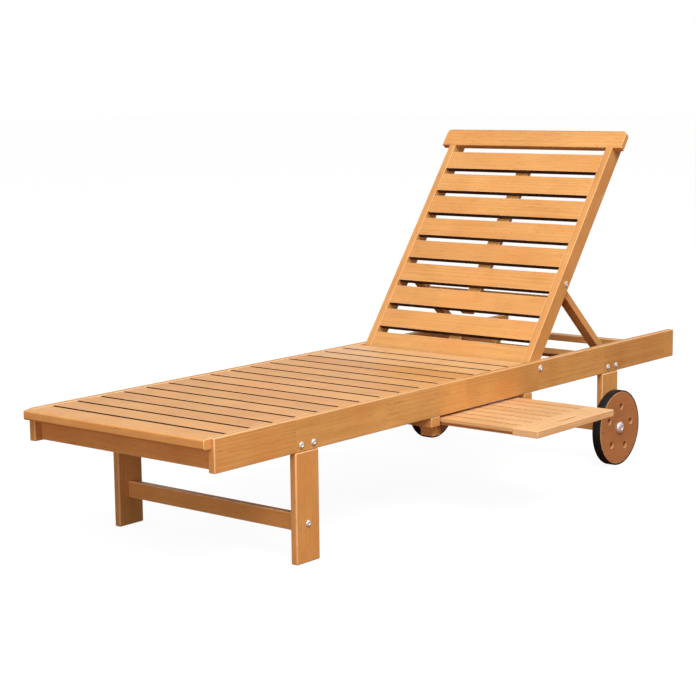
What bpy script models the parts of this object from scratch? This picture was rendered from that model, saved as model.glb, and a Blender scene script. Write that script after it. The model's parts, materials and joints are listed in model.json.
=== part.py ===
"""Reclining slatted sun lounger with two wheels and a slide-out side tray.

Units are metres, +Z is up and the floor is Z = 0. Lengths along the lounger are measured from
the foot end of its side rails towards the head (+X), widths from its centre line. A datum empty
then puts the origin under the middle of the whole lounger's box. The tray comes out on the -Y
side. Left and right are those of a person lying on the lounger: left is -Y, the tray's side.
"""
import math

import bmesh
import bpy
from mathutils import Vector

# ---- driving dimensions ----------------------------------------------------------------------
FRAME_WIDTH = 0.600          # over the outer faces of the side rails
SEAT_HEIGHT = 0.341          # top edge of the side rails
REST_GAP = 0.0003            # between faces that touch
WOOD_EDGE = 0.002            # eased edges of the boards

RAIL_LENGTH = 1.975
RAIL_DEPTH = 0.079
RAIL_THICKNESS = 0.019

LEG_WIDTH = 0.081
LEG_THICKNESS = 0.019
FRONT_LEG_START = 0.266      # foot-side edge of the front legs
BACK_LEG_START = 1.581       # foot-side edge of the back legs
BACK_LEG_BELOW_AXLE = 0.050  # how far the back legs run on below the axle
TONGUE_THICKNESS = 0.0095    # half lap of leg into rail
TONGUE_HEIGHT = 0.060

STRETCHER_DEPTH = 0.042
STRETCHER_THICKNESS = 0.019
FRONT_STRETCHER_HEIGHT = 0.0915   # middle of the front stretcher above the floor
REAR_STRETCHER_ABOVE_AXLE = 0.010  # middle of the rear stretcher above the axle
AXLE_TO_STRETCHER = 0.003    # clearance between the rear stretcher and the axle rod

SEAT_SLAT_PITCH = 0.0775
SEAT_SLAT_GAP = 0.0115
SEAT_SLAT_COUNT = 16         # the nose slat is the first
SEAT_SLAT_THICKNESS = 0.018
SEAT_SLAT_SET_DOWN = 0.0005  # slat tops below the rail tops
FIRST_GAP_CENTRE = 0.0553    # from the rails' foot end to the first gap between slats
NOSE_OVERHANG = 0.024        # nose slat in front of the rails
NOSE_THICKNESS = 0.024
NOSE_END_INSET = 0.008       # nose slat's ends inside the rails' outer faces
NOSE_ROUND = 0.008
SLAT_END_CLEARANCE = 0.0005
LEDGER_WIDTH = 0.020
LEDGER_DEPTH = 0.022

APRON_SETBACK = 0.020
APRON_THICKNESS = 0.019
APRON_BOTTOM_ABOVE_RAIL = 0.002

HEAD_RAIL_SETBACK = 0.020    # head cross rail from the rails' head end
HEAD_RAIL_THICKNESS = 0.026
HEAD_RAIL_DEPTH = 0.0205
HEAD_RAIL_LIFT = 0.018       # its underside above the rails' lower edges

BACKREST_PIVOT_X = 1.2644
BACKREST_PIVOT_BELOW_TOP = 0.020
BACKREST_ANGLE = math.radians(53.05)   # raised, above the horizontal
BACKREST_FLAT = math.radians(1.0)      # lowest position, cap just over the rails
STILE_THICKNESS = 0.021
STILE_DEPTH = 0.046
STILE_FRONT = 0.0275         # front face above the pivot axis
STILE_SIDE_CLEARANCE = 0.0035

CAP_START = 0.687            # along the stile from the pivot
CAP_DEPTH = 0.055
CAP_THICKNESS = 0.0175
CAP_OVERHANG = 0.004         # cap ends beyond the rails' outer faces
CAP_CORNER = 0.012
BACK_SLAT_COUNT = 9
BACK_SLAT_WIDTH = 0.058
BACK_SLAT_PITCH = 0.0771
BACK_SLAT_THICKNESS = 0.017
BACK_SLAT_RECESS = 0.0015    # slat fronts behind the stile fronts
TOP_SLAT_TOP = 0.6636        # upper edge of the top slat along the stile from the pivot
BATTEN_WIDTH = 0.041
BATTEN_THICKNESS = 0.016
UPPER_BATTEN_SLATS = 7       # slats that the upper batten ties, from the top

PROP_PIVOT_ALONG = 0.2619    # along the stile from the backrest pivot
PROP_PIVOT_BEHIND = 0.0034   # behind the line of the backrest pivot
PROP_LENGTH = 0.358          # prop pivot to the middle of the foot bar
PROP_WIDTH = 0.020
PROP_THICKNESS = 0.032
PROP_SIDE_CLEARANCE = 0.001
FOOT_BAR_HEIGHT = 0.287      # middle of the foot bar above the floor, backrest raised
FOOT_BAR_WIDTH = 0.020
FOOT_BAR_END_CLEARANCE = 0.002
PROP_RAIL_ALONG = 0.076      # prop pivot to the middle of the rail that ties the two arms
PROP_RAIL_DEPTH = 0.020
PROP_RAIL_THICKNESS = 0.014  # thinner than the arms, to clear the batten when folded

RACK_THICKNESS = 0.022
RACK_BELOW_RAIL = 0.0035
RACK_CLEARANCE = 0.001       # tooth tips under the foot bar's path
RACK_NOTCH_DEPTH = 0.0065
RACK_NOTCH_WIDTH = 0.026
RACK_PITCH = 0.058
RACK_NOTCHES = 4
RACK_END_MARGIN = 0.035

WHEEL_RADIUS = 0.106
TYRE_WALL = 0.004
WHEEL_WIDTH = 0.024
WHEEL_TO_LEG = 0.008
WHEEL_HOLE_RADIUS = 0.009
WHEEL_HOLE_CIRCLE = 0.0604
WHEEL_HOLE_COUNT = 5
WHEEL_HOLE_START = math.radians(10.5)
AXLE_RADIUS = 0.006
AXLE_CLEARANCE = 0.0001
AXLE_COLLAR_RADIUS = 0.012
HUB_CAP_RADIUS = 0.0165
HUB_CAP_HEIGHT = 0.007

BOLT_RADIUS = 0.004
BOLT_CLEARANCE = 0.0001
BOLT_HEAD_RADIUS = 0.0085
BOLT_HEAD_HEIGHT = 0.0035
PROP_BOLT_HEAD_HEIGHT = 0.0024
NUT_RADIUS = 0.007
NUT_HEIGHT = 0.005
PIVOT_WASHER_RADIUS = 0.010

RUNNER_START = 0.780         # foot-side edge of the left-hand runner, along the rails
RUNNER_WIDTH = 0.035
RUNNER_DEPTH = 0.024
TRAY_START = 0.821           # foot-side edge of the tray
TRAY_WIDTH = 0.347           # along the lounger
TRAY_LENGTH = 0.540          # across the lounger
TRAY_DROP = 0.006            # tray top below the rails
TRAY_THICKNESS = 0.018
TRAY_SIDE_CLEARANCE = 0.001
TRAY_OUT = 0.283             # front edge beyond the rail, tray pulled out
TRAY_CLOSED_PROUD = 0.002    # front edge beyond the rail, tray pushed in
TRAY_SLAT_COUNT = 8
TRAY_SLAT_THICKNESS = 0.010
TRAY_GROOVE = 0.004
TRAY_SIDE_CLEAT_WIDTH = 0.022
TRAY_SIDE_CLEAT_INSET = 0.003
TRAY_BACK_CLEAT_WIDTH = 0.040
TRAY_TENON = 0.006           # slats and cleats run this far into the front board
FRONT_BOARD_WIDTH = 0.073
SECOND_RUNNER_GAP = 0.023    # between the tray and the head-side runner
KEEPER_THICKNESS = 0.0042
KEEPER_OVERLAP = 0.008       # keeper lip over the tray's edge
BEARER_LENGTH = 0.039
BEARER_DEPTH = 0.029
BEARER_OVERLAP = 0.023       # bearer under the tray's edge
BEARER_ROOT = 0.003          # bearer's root inside the runner
HANDLE_SLOT_LENGTH = 0.104
HANDLE_SLOT_DEPTH = 0.016    # how far its curved side bulges from its straight side
HANDLE_SLOT_FROM_EDGE = 0.038  # straight side from the tray's front edge

# ---- worked out from them --------------------------------------------------------------------
HALF_WIDTH = FRAME_WIDTH / 2
INNER_FACE = HALF_WIDTH - RAIL_THICKNESS
RAIL_BOTTOM = SEAT_HEIGHT - RAIL_DEPTH
SLAT_TOP = SEAT_HEIGHT - SEAT_SLAT_SET_DOWN
SLAT_BOTTOM = SLAT_TOP - SEAT_SLAT_THICKNESS
SEAT_END = FIRST_GAP_CENTRE + (SEAT_SLAT_COUNT - 1) * SEAT_SLAT_PITCH - SEAT_SLAT_GAP / 2
PIVOT_Z = SEAT_HEIGHT - BACKREST_PIVOT_BELOW_TOP
STILE_OUTER = INNER_FACE - STILE_SIDE_CLEARANCE
STILE_INNER = STILE_OUTER - STILE_THICKNESS
STILE_BACK = STILE_FRONT - STILE_DEPTH
BACK_SLAT_FRONT = STILE_FRONT - BACK_SLAT_RECESS
BACK_SLAT_BACK = BACK_SLAT_FRONT - BACK_SLAT_THICKNESS
PROP_OUTER = STILE_INNER - PROP_SIDE_CLEARANCE
PROP_INNER = PROP_OUTER - PROP_THICKNESS
AXLE_X = BACK_LEG_START + LEG_WIDTH / 2
AXLE_Z = WHEEL_RADIUS
WHEEL_INNER = HALF_WIDTH + WHEEL_TO_LEG
WHEEL_OUTER = WHEEL_INNER + WHEEL_WIDTH
OVERALL_HALF_WIDTH = WHEEL_OUTER + REST_GAP + HUB_CAP_HEIGHT
TRAY_TOP = RAIL_BOTTOM - TRAY_DROP
TRAY_BOTTOM = TRAY_TOP - TRAY_THICKNESS
TRAY_FRONT = -HALF_WIDTH - TRAY_OUT
TRAY_TRAVEL = TRAY_OUT - TRAY_CLOSED_PROUD
TRAY_END = TRAY_START + TRAY_WIDTH

# The prop hangs from the raised stile and its foot bar lies on the rack.
PROP_PIVOT_X = (BACKREST_PIVOT_X + PROP_PIVOT_ALONG * math.cos(BACKREST_ANGLE)
                + PROP_PIVOT_BEHIND * math.sin(BACKREST_ANGLE))
PROP_PIVOT_Z = (PIVOT_Z + PROP_PIVOT_ALONG * math.sin(BACKREST_ANGLE)
                - PROP_PIVOT_BEHIND * math.cos(BACKREST_ANGLE))
PROP_ANGLE = math.asin((PROP_PIVOT_Z - FOOT_BAR_HEIGHT) / PROP_LENGTH)
FOOT_BAR_X = PROP_PIVOT_X + PROP_LENGTH * math.cos(PROP_ANGLE)
RACK_TOP = FOOT_BAR_HEIGHT - FOOT_BAR_WIDTH / math.sqrt(2) - RACK_CLEARANCE
RACK_BOTTOM = RAIL_BOTTOM - RACK_BELOW_RAIL

# The datum puts the origin under the middle of the box round rails, nose, tray and hub caps.
DATUM = Vector(((NOSE_OVERHANG - RAIL_LENGTH) / 2,
                -(TRAY_FRONT + OVERALL_HALF_WIDTH) / 2,
                0.0))

ROUND_STEPS = 64
HOLE_STEPS = 24
CORNER_STEPS = 6
CUT_PAST = 0.002             # cutters run this far past the faces that they cut
WELD = 0.00001

LEFT = -1
RIGHT = 1
SIDES = ((LEFT, "left"), (RIGHT, "right"))


# ---- scene, materials and the datum ----------------------------------------------------------
for old in list(bpy.data.objects):
    bpy.data.objects.remove(old, do_unlink=True)

lounger = bpy.data.collections.new("sun_lounger")
cutters = bpy.data.collections.new("cutters")
bpy.context.scene.collection.children.link(lounger)
bpy.context.scene.collection.children.link(cutters)


def make_material(name, colour, roughness, metallic=0.0):
    material = bpy.data.materials.new(name)
    material.use_nodes = True
    shader = material.node_tree.nodes["Principled BSDF"]
    shader.inputs["Base Color"].default_value = (*colour, 1.0)
    shader.inputs["Roughness"].default_value = roughness
    shader.inputs["Metallic"].default_value = metallic
    return material


OILED_HARDWOOD = make_material("oiled_hardwood", (0.62, 0.32, 0.12), 0.45)
SEAT_HARDWOOD = make_material("seat_hardwood", (0.78, 0.46, 0.22), 0.45)
ZINC_STEEL = make_material("zinc_steel", (0.75, 0.76, 0.78), 0.3, 1.0)
TYRE_RUBBER = make_material("tyre_rubber", (0.02, 0.02, 0.02), 0.7)


def add_empty(name, location, rotation=(0.0, 0.0, 0.0), parent=None):
    empty = bpy.data.objects.new(name, None)
    empty.location = location
    empty.rotation_euler = rotation
    empty.parent = parent
    lounger.objects.link(empty)
    return empty


datum = add_empty("datum", DATUM)


# ---- makers ----------------------------------------------------------------------------------
def place(piece, collection, parent):
    for owner in list(piece.users_collection):
        owner.objects.unlink(piece)
    collection.objects.link(piece)
    piece.parent = parent


def finish(piece, material, edge=0.0):
    """Give a piece its material and, where its edges are eased, a chamfer of that width."""
    piece.data.materials.clear()
    piece.data.materials.append(material)
    if edge:
        bevel = piece.modifiers.new("eased_edges", "BEVEL")
        bevel.width = edge
        bevel.segments = 1
        bevel.limit_method = "ANGLE"
    return piece


def box(name, low, high, parent=datum, collection=lounger):
    """A board between two opposite corners, given in its parent's frame."""
    low, high = Vector(low), Vector(high)
    bpy.ops.mesh.primitive_cube_add(size=1.0, location=(low + high) / 2)
    board = bpy.context.object
    board.name = name
    board.scale = high - low
    bpy.ops.object.transform_apply(location=False, rotation=False, scale=True)
    place(board, collection, parent)
    return board


def board(name, low, high, material=OILED_HARDWOOD, parent=datum, edge=WOOD_EDGE):
    return finish(box(name, low, high, parent), material, edge)


def rod(name, radius, start, end, parent=datum, collection=lounger, steps=HOLE_STEPS):
    """A cylinder along Y from start to end, two points with the same X and Z."""
    start, end = Vector(start), Vector(end)
    bpy.ops.mesh.primitive_cylinder_add(vertices=steps, radius=radius, depth=abs(end.y - start.y),
                                        location=(start + end) / 2, rotation=(math.pi / 2, 0, 0))
    round_bar = bpy.context.object
    round_bar.name = name
    place(round_bar, collection, parent)
    return round_bar


def arc(centre, radius, start, end, steps=CORNER_STEPS):
    """Points on an arc from one angle to another, in degrees."""
    points = []
    for step in range(steps + 1):
        angle = math.radians(start + (end - start) * step / steps)
        points.append((centre[0] + radius * math.cos(angle), centre[1] + radius * math.sin(angle)))
    return points


def plate(name, outline, thickness, location, rotation, parent=datum, collection=lounger):
    """A flat piece: a closed outline in its own XY plane, with its thickness along its Z."""
    curve = bpy.data.curves.new(name, "CURVE")
    curve.dimensions = "2D"
    curve.fill_mode = "BOTH"
    curve.extrude = thickness / 2
    spline = curve.splines.new("POLY")
    spline.points.add(len(outline) - 1)
    for point, (across, up) in zip(spline.points, outline):
        point.co = (across, up, 0.0, 1.0)
    spline.use_cyclic_u = True
    pattern = bpy.data.objects.new(name + "_outline", curve)
    lounger.objects.link(pattern)
    graph = bpy.context.evaluated_depsgraph_get()
    mesh = bpy.data.meshes.new_from_object(pattern.evaluated_get(graph))
    bpy.data.objects.remove(pattern, do_unlink=True)
    work = bmesh.new()
    work.from_mesh(mesh)
    bmesh.ops.remove_doubles(work, verts=work.verts, dist=WELD)
    bmesh.ops.recalc_face_normals(work, faces=work.faces)
    work.to_mesh(mesh)
    work.free()
    piece = bpy.data.objects.new(name, mesh)
    piece.location = location
    piece.rotation_euler = rotation
    collection.objects.link(piece)
    piece.parent = parent
    return piece


UPRIGHT = (math.pi / 2, 0.0, 0.0)     # outline in XZ, thickness along Y
ACROSS = (math.pi / 2, 0.0, math.pi / 2)  # outline in YZ, thickness along X


def cut(piece, cutter):
    """Take a cutter's shape out of a piece."""
    cutter.hide_render = True
    cutter.display_type = "WIRE"
    boolean = piece.modifiers.new("cut_" + cutter.name, "BOOLEAN")
    boolean.operation = "DIFFERENCE"
    boolean.object = cutter


def join(piece, other):
    """Glue another solid to a piece, so that they are one body."""
    other.hide_render = True
    other.display_type = "WIRE"
    boolean = piece.modifiers.new("join_" + other.name, "BOOLEAN")
    boolean.operation = "UNION"
    boolean.object = other


def hole(piece, name, radius, centre, near, far, parent=datum, steps=HOLE_STEPS):
    """Bore a hole along Y through a piece, at an (x, z) centre between two Y faces."""
    low, high = sorted((near, far))
    start = (centre[0], low - CUT_PAST, centre[1])
    end = (centre[0], high + CUT_PAST, centre[1])
    cut(piece, rod(name, radius, start, end, parent, cutters, steps))


def turned(name, profile, location, side, material, parent=datum, steps=HOLE_STEPS):
    """A turned piece on a Y axis. The profile is (along, radius) pairs from the axis, out and
    back to it, with along growing away from the lounger's centre line."""
    mesh = bpy.data.meshes.new(name)
    work = bmesh.new()
    corners = [work.verts.new((radius, 0.0, along)) for along, radius in profile]
    for first, second in zip(corners, corners[1:]):
        work.edges.new((first, second))
    work.to_mesh(mesh)
    work.free()
    piece = bpy.data.objects.new(name, mesh)
    piece.location = location
    piece.rotation_euler = (-side * math.pi / 2, 0.0, 0.0)
    lounger.objects.link(piece)
    piece.parent = parent
    screw = piece.modifiers.new("turned", "SCREW")
    screw.axis = "Z"
    screw.steps = steps
    screw.render_steps = steps
    screw.use_merge_vertices = True
    screw.merge_threshold = WELD
    screw.use_smooth_shade = True
    return finish(piece, material)


def span(side, inner, outer):
    """The low and high Y of something between two distances from the centre line, on a side."""
    return sorted((side * inner, side * outer))


# ---- side rails, housed for the legs and bored for the backrest bolts --------------------------
def make_rail(side, word):
    low, high = span(side, INNER_FACE, HALF_WIDTH)
    rail = box("rail_" + word, (0, low, RAIL_BOTTOM), (RAIL_LENGTH, high, SEAT_HEIGHT))
    housing = span(side, INNER_FACE - CUT_PAST, INNER_FACE + TONGUE_THICKNESS + REST_GAP)
    for start, leg in ((FRONT_LEG_START, "front"), (BACK_LEG_START, "back")):
        cut(rail, box(f"{leg}_housing_{word}",
                      (start - REST_GAP, housing[0], RAIL_BOTTOM - CUT_PAST),
                      (start + LEG_WIDTH + REST_GAP, housing[1],
                       RAIL_BOTTOM + TONGUE_HEIGHT + REST_GAP),
                      collection=cutters))
    hole(rail, "rail_bolt_hole_" + word, BOLT_RADIUS + BOLT_CLEARANCE,
         (BACKREST_PIVOT_X, PIVOT_Z), low, high)
    finish(rail, OILED_HARDWOOD)


# ---- legs: full thickness up to the rail, then a tongue in the rail's housing ------------------
def make_leg(side, word, name, start, bottom):
    outer = side * HALF_WIDTH
    inner = side * INNER_FACE
    tongue = side * (INNER_FACE + TONGUE_THICKNESS)
    shoulder = RAIL_BOTTOM - REST_GAP
    top = RAIL_BOTTOM + TONGUE_HEIGHT
    outline = [(inner, bottom), (outer, bottom), (outer, shoulder), (tongue, shoulder),
               (tongue, top), (inner, top)]
    leg = plate(f"{name}_leg_{word}", outline, LEG_WIDTH, (start + LEG_WIDTH / 2, 0, 0), ACROSS)
    return finish(leg, OILED_HARDWOOD)


def make_legs(side, word):
    make_leg(side, word, "front", FRONT_LEG_START, 0.0)
    back = make_leg(side, word, "back", BACK_LEG_START, AXLE_Z - BACK_LEG_BELOW_AXLE)
    hole(back, "back_leg_bore_" + word, AXLE_RADIUS + AXLE_CLEARANCE, (AXLE_X, AXLE_Z),
         side * INNER_FACE, side * HALF_WIDTH)


# ---- cross members ---------------------------------------------------------------------------
def make_cross_members():
    reach = INNER_FACE - REST_GAP
    middle = FRONT_LEG_START + LEG_WIDTH / 2
    board("front_stretcher",
          (middle - STRETCHER_THICKNESS / 2, -reach, FRONT_STRETCHER_HEIGHT - STRETCHER_DEPTH / 2),
          (middle + STRETCHER_THICKNESS / 2, reach, FRONT_STRETCHER_HEIGHT + STRETCHER_DEPTH / 2))
    back_face = AXLE_X - AXLE_RADIUS - AXLE_TO_STRETCHER
    height = AXLE_Z + REAR_STRETCHER_ABOVE_AXLE
    board("rear_stretcher",
          (back_face - STRETCHER_THICKNESS, -reach, height - STRETCHER_DEPTH / 2),
          (back_face, reach, height + STRETCHER_DEPTH / 2))
    board("foot_apron",
          (APRON_SETBACK, -reach, RAIL_BOTTOM + APRON_BOTTOM_ABOVE_RAIL),
          (APRON_SETBACK + APRON_THICKNESS, reach, SLAT_TOP - NOSE_THICKNESS - REST_GAP))
    end = RAIL_LENGTH - HEAD_RAIL_SETBACK
    underside = RAIL_BOTTOM + HEAD_RAIL_LIFT
    board("head_cross_rail",
          (end - HEAD_RAIL_THICKNESS, -reach, underside),
          (end, reach, underside + HEAD_RAIL_DEPTH))


# ---- seat: a nose slat over the rail ends, then plain slats on two ledgers ---------------------
def make_seat():
    reach = INNER_FACE - SLAT_END_CLEARANCE
    nose_reach = HALF_WIDTH - NOSE_END_INSET
    first_end = FIRST_GAP_CENTRE - SEAT_SLAT_GAP / 2
    bottom = SLAT_TOP - NOSE_THICKNESS
    nose = box("seat_slat_01", (-NOSE_OVERHANG, -nose_reach, bottom), (first_end, nose_reach, SLAT_TOP))
    for side, word in SIDES:
        low, high = span(side, reach, nose_reach + CUT_PAST)
        cut(nose, box("nose_notch_" + word, (-REST_GAP, low, bottom - CUT_PAST),
                      (first_end + CUT_PAST, high, SLAT_TOP + CUT_PAST), collection=cutters))
    finish(nose, SEAT_HARDWOOD)
    for number in range(2, SEAT_SLAT_COUNT + 1):
        start = FIRST_GAP_CENTRE + (number - 2) * SEAT_SLAT_PITCH + SEAT_SLAT_GAP / 2
        board(f"seat_slat_{number:02d}", (start, -reach, SLAT_BOTTOM),
              (start + SEAT_SLAT_PITCH - SEAT_SLAT_GAP, reach, SLAT_TOP), SEAT_HARDWOOD)
    for side, word in SIDES:
        low, high = span(side, INNER_FACE - REST_GAP - LEDGER_WIDTH, INNER_FACE - REST_GAP)
        board("seat_ledger_" + word,
              (first_end + SEAT_SLAT_GAP, low, SLAT_BOTTOM - REST_GAP - LEDGER_DEPTH),
              (SEAT_END, high, SLAT_BOTTOM - REST_GAP))


# ---- backrest, in the frame of its pivot: X up the stiles, Z out of the front ------------------
backrest = add_empty("backrest_pivot", (BACKREST_PIVOT_X, 0, PIVOT_Z), (0, -BACKREST_ANGLE, 0), datum)


def make_stile(side, word):
    half = STILE_DEPTH / 2
    shoulder = CAP_START - REST_GAP
    cap_back = STILE_FRONT - CAP_THICKNESS - REST_GAP
    top = CAP_START + CAP_DEPTH - WOOD_EDGE
    outline = [(shoulder, STILE_FRONT), (shoulder, cap_back), (top, cap_back), (top, STILE_BACK)]
    outline = arc((0.0, STILE_BACK + half), half, 90, 270, 2 * CORNER_STEPS) + outline[::-1]
    middle = side * (STILE_OUTER + STILE_INNER) / 2
    stile = plate("stile_" + word, outline, STILE_THICKNESS, (0, middle, 0), UPRIGHT, backrest)
    inner, outer = side * STILE_INNER, side * STILE_OUTER
    hole(stile, "stile_pivot_bore_" + word, BOLT_RADIUS + BOLT_CLEARANCE, (0, 0),
         inner, outer, backrest)
    hole(stile, "stile_prop_bore_" + word, BOLT_RADIUS + BOLT_CLEARANCE,
         (PROP_PIVOT_ALONG, -PROP_PIVOT_BEHIND), inner, outer, backrest)
    finish(stile, OILED_HARDWOOD)


def make_cap():
    reach = HALF_WIDTH + CAP_OVERHANG
    top = CAP_START + CAP_DEPTH
    outline = [(CAP_START, -reach)]
    outline += arc((top - CAP_CORNER, -reach + CAP_CORNER), CAP_CORNER, -90, 0)
    outline += arc((top - CAP_CORNER, reach - CAP_CORNER), CAP_CORNER, 0, 90)
    outline += [(CAP_START, reach)]
    cap = plate("backrest_cap", outline, CAP_THICKNESS,
                (0, 0, STILE_FRONT - CAP_THICKNESS / 2), (0, 0, 0), backrest)
    finish(cap, OILED_HARDWOOD, WOOD_EDGE)


def back_slat_top(number):
    return TOP_SLAT_TOP - (number - 1) * BACK_SLAT_PITCH


def make_backrest():
    for side, word in SIDES:
        make_stile(side, word)
    make_cap()
    reach = STILE_INNER - SLAT_END_CLEARANCE
    for number in range(1, BACK_SLAT_COUNT + 1):
        top = back_slat_top(number)
        board(f"backrest_slat_{number}", (top - BACK_SLAT_WIDTH, -reach, BACK_SLAT_BACK),
              (top, reach, BACK_SLAT_FRONT), parent=backrest)
    front = BACK_SLAT_BACK - REST_GAP
    for word, first, last in (("upper", 1, UPPER_BATTEN_SLATS),
                              ("lower", UPPER_BATTEN_SLATS + 1, BACK_SLAT_COUNT)):
        board(f"{word}_batten",
              (back_slat_top(last) - BACK_SLAT_WIDTH + WOOD_EDGE, -BATTEN_WIDTH / 2,
               front - BATTEN_THICKNESS),
              (back_slat_top(first) - WOOD_EDGE, BATTEN_WIDTH / 2, front), parent=backrest)


def make_bolt(name, side, head_face, head_height, far_face, parent, washer=None):
    """A domed bolt along Y. head_face is where its head sits and far_face where its nut does,
    as distances from the centre line. A washer fills a gap between two such distances."""
    dome = BOLT_HEAD_RADIUS * 0.75
    profile = [(head_face + head_height, 0.0),
               (head_face + head_height, dome * 0.55),
               (head_face + head_height * 0.8, dome),
               (head_face + head_height * 0.3, BOLT_HEAD_RADIUS),
               (head_face + REST_GAP, BOLT_HEAD_RADIUS),
               (head_face + REST_GAP, BOLT_RADIUS)]
    if washer:
        inner, outer = washer
        profile += [(outer - REST_GAP, BOLT_RADIUS), (outer - REST_GAP, PIVOT_WASHER_RADIUS),
                    (inner + REST_GAP, PIVOT_WASHER_RADIUS), (inner + REST_GAP, BOLT_RADIUS)]
    nut = far_face - REST_GAP
    profile += [(nut, BOLT_RADIUS), (nut, NUT_RADIUS), (nut - NUT_HEIGHT, NUT_RADIUS),
                (nut - NUT_HEIGHT, 0.0)]
    return turned(name, profile, (0, 0, 0), side, ZINC_STEEL, parent)


def make_pivot_bolts():
    for side, word in SIDES:
        bolt = make_bolt("backrest_bolt_" + word, side, HALF_WIDTH, BOLT_HEAD_HEIGHT, STILE_INNER,
                         datum, washer=(STILE_OUTER, INNER_FACE))
        bolt.location = (BACKREST_PIVOT_X, 0, PIVOT_Z)
        bolt = make_bolt("prop_bolt_" + word, side, STILE_OUTER, PROP_BOLT_HEAD_HEIGHT, PROP_INNER,
                         backrest)
        bolt.location = (PROP_PIVOT_ALONG, 0, -PROP_PIVOT_BEHIND)


# ---- prop, in the frame of its own pivot: X down the arms to the foot bar ----------------------
prop = add_empty("prop_pivot", (PROP_PIVOT_X, 0, PROP_PIVOT_Z), (0, PROP_ANGLE, 0), datum)


def make_prop():
    half = PROP_WIDTH / 2
    end = PROP_LENGTH - FOOT_BAR_WIDTH / 2 - REST_GAP
    outline = arc((0.0, 0.0), half, 90, 270, 2 * CORNER_STEPS) + [(end, -half), (end, half)]
    for side, word in SIDES:
        middle = side * (PROP_OUTER + PROP_INNER) / 2
        arm = plate("prop_arm_" + word, outline, PROP_THICKNESS, (0, middle, 0), UPRIGHT, prop)
        hole(arm, "prop_arm_bore_" + word, BOLT_RADIUS + BOLT_CLEARANCE, (0, 0),
             side * PROP_INNER, side * PROP_OUTER, prop)
        finish(arm, OILED_HARDWOOD)
    reach = PROP_INNER - REST_GAP
    board("prop_cross_rail", (PROP_RAIL_ALONG - PROP_RAIL_DEPTH / 2, -reach, -half),
          (PROP_RAIL_ALONG + PROP_RAIL_DEPTH / 2, reach, PROP_RAIL_THICKNESS - half), parent=prop)
    reach = INNER_FACE - FOOT_BAR_END_CLEARANCE
    board("foot_bar", (PROP_LENGTH - FOOT_BAR_WIDTH / 2, -reach, -FOOT_BAR_WIDTH / 2),
          (PROP_LENGTH + FOOT_BAR_WIDTH / 2, reach, FOOT_BAR_WIDTH / 2), parent=prop)


def make_rack(side, word):
    """A strip with rounded notches inside the rail, its tips just under the foot bar's path."""
    start = FOOT_BAR_X - RACK_END_MARGIN
    end = FOOT_BAR_X + (RACK_NOTCHES - 1) * RACK_PITCH + RACK_END_MARGIN
    outline = [(start, RACK_BOTTOM), (end, RACK_BOTTOM), (end, RACK_TOP)]
    half = RACK_NOTCH_WIDTH / 2
    for notch in reversed(range(RACK_NOTCHES)):
        middle = FOOT_BAR_X + notch * RACK_PITCH
        for point in range(CORNER_STEPS + 1):
            turn = math.pi * point / CORNER_STEPS
            outline.append((middle + half * math.cos(turn), RACK_TOP - RACK_NOTCH_DEPTH * math.sin(turn)))
    outline.append((start, RACK_TOP))
    middle = side * (INNER_FACE - REST_GAP - RACK_THICKNESS / 2)
    finish(plate("rack_" + word, outline, RACK_THICKNESS, (0, middle, 0), UPRIGHT), OILED_HARDWOOD)


# ---- wheels on one axle rod through the back legs ----------------------------------------------
def make_axle():
    """A rod with a collar between each leg and wheel and a domed cap outside each wheel."""
    collar_in = HALF_WIDTH + REST_GAP
    collar_out = WHEEL_INNER - REST_GAP
    cap_face = WHEEL_OUTER + REST_GAP
    half = [(cap_face + HUB_CAP_HEIGHT, 0.0),
            (cap_face + HUB_CAP_HEIGHT, HUB_CAP_RADIUS * 0.45),
            (cap_face + HUB_CAP_HEIGHT * 0.72, HUB_CAP_RADIUS * 0.8),
            (cap_face + HUB_CAP_HEIGHT * 0.25, HUB_CAP_RADIUS),
            (cap_face, HUB_CAP_RADIUS),
            (cap_face, AXLE_RADIUS),
            (collar_out, AXLE_RADIUS),
            (collar_out, AXLE_COLLAR_RADIUS),
            (collar_in, AXLE_COLLAR_RADIUS),
            (collar_in, AXLE_RADIUS)]
    profile = half + [(-along, radius) for along, radius in reversed(half)]
    turned("axle", profile, (AXLE_X, 0, AXLE_Z), RIGHT, ZINC_STEEL)


def make_wheel(side, word):
    disc_radius = WHEEL_RADIUS - TYRE_WALL
    start, end = (AXLE_X, side * WHEEL_INNER, AXLE_Z), (AXLE_X, side * WHEEL_OUTER, AXLE_Z)
    disc = rod("wheel_disc_" + word, disc_radius - REST_GAP, start, end, steps=ROUND_STEPS)
    hole(disc, "wheel_bore_" + word, AXLE_RADIUS + AXLE_CLEARANCE, (AXLE_X, AXLE_Z),
         side * WHEEL_INNER, side * WHEEL_OUTER)
    for number in range(WHEEL_HOLE_COUNT):
        turn = WHEEL_HOLE_START + number * math.tau / WHEEL_HOLE_COUNT
        centre = (AXLE_X + WHEEL_HOLE_CIRCLE * math.cos(turn), AXLE_Z + WHEEL_HOLE_CIRCLE * math.sin(turn))
        hole(disc, f"wheel_hole_{word}_{number + 1}", WHEEL_HOLE_RADIUS, centre,
             side * WHEEL_INNER, side * WHEEL_OUTER)
    finish(disc, OILED_HARDWOOD)
    ease = TYRE_WALL / 4
    profile = [(WHEEL_OUTER, disc_radius), (WHEEL_OUTER, WHEEL_RADIUS - ease),
               (WHEEL_OUTER - ease, WHEEL_RADIUS), (WHEEL_INNER + ease, WHEEL_RADIUS),
               (WHEEL_INNER, WHEEL_RADIUS - ease), (WHEEL_INNER, disc_radius),
               (WHEEL_OUTER, disc_radius)]
    turned("tyre_" + word, profile, (AXLE_X, 0, AXLE_Z), side, TYRE_RUBBER, steps=ROUND_STEPS)


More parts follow.
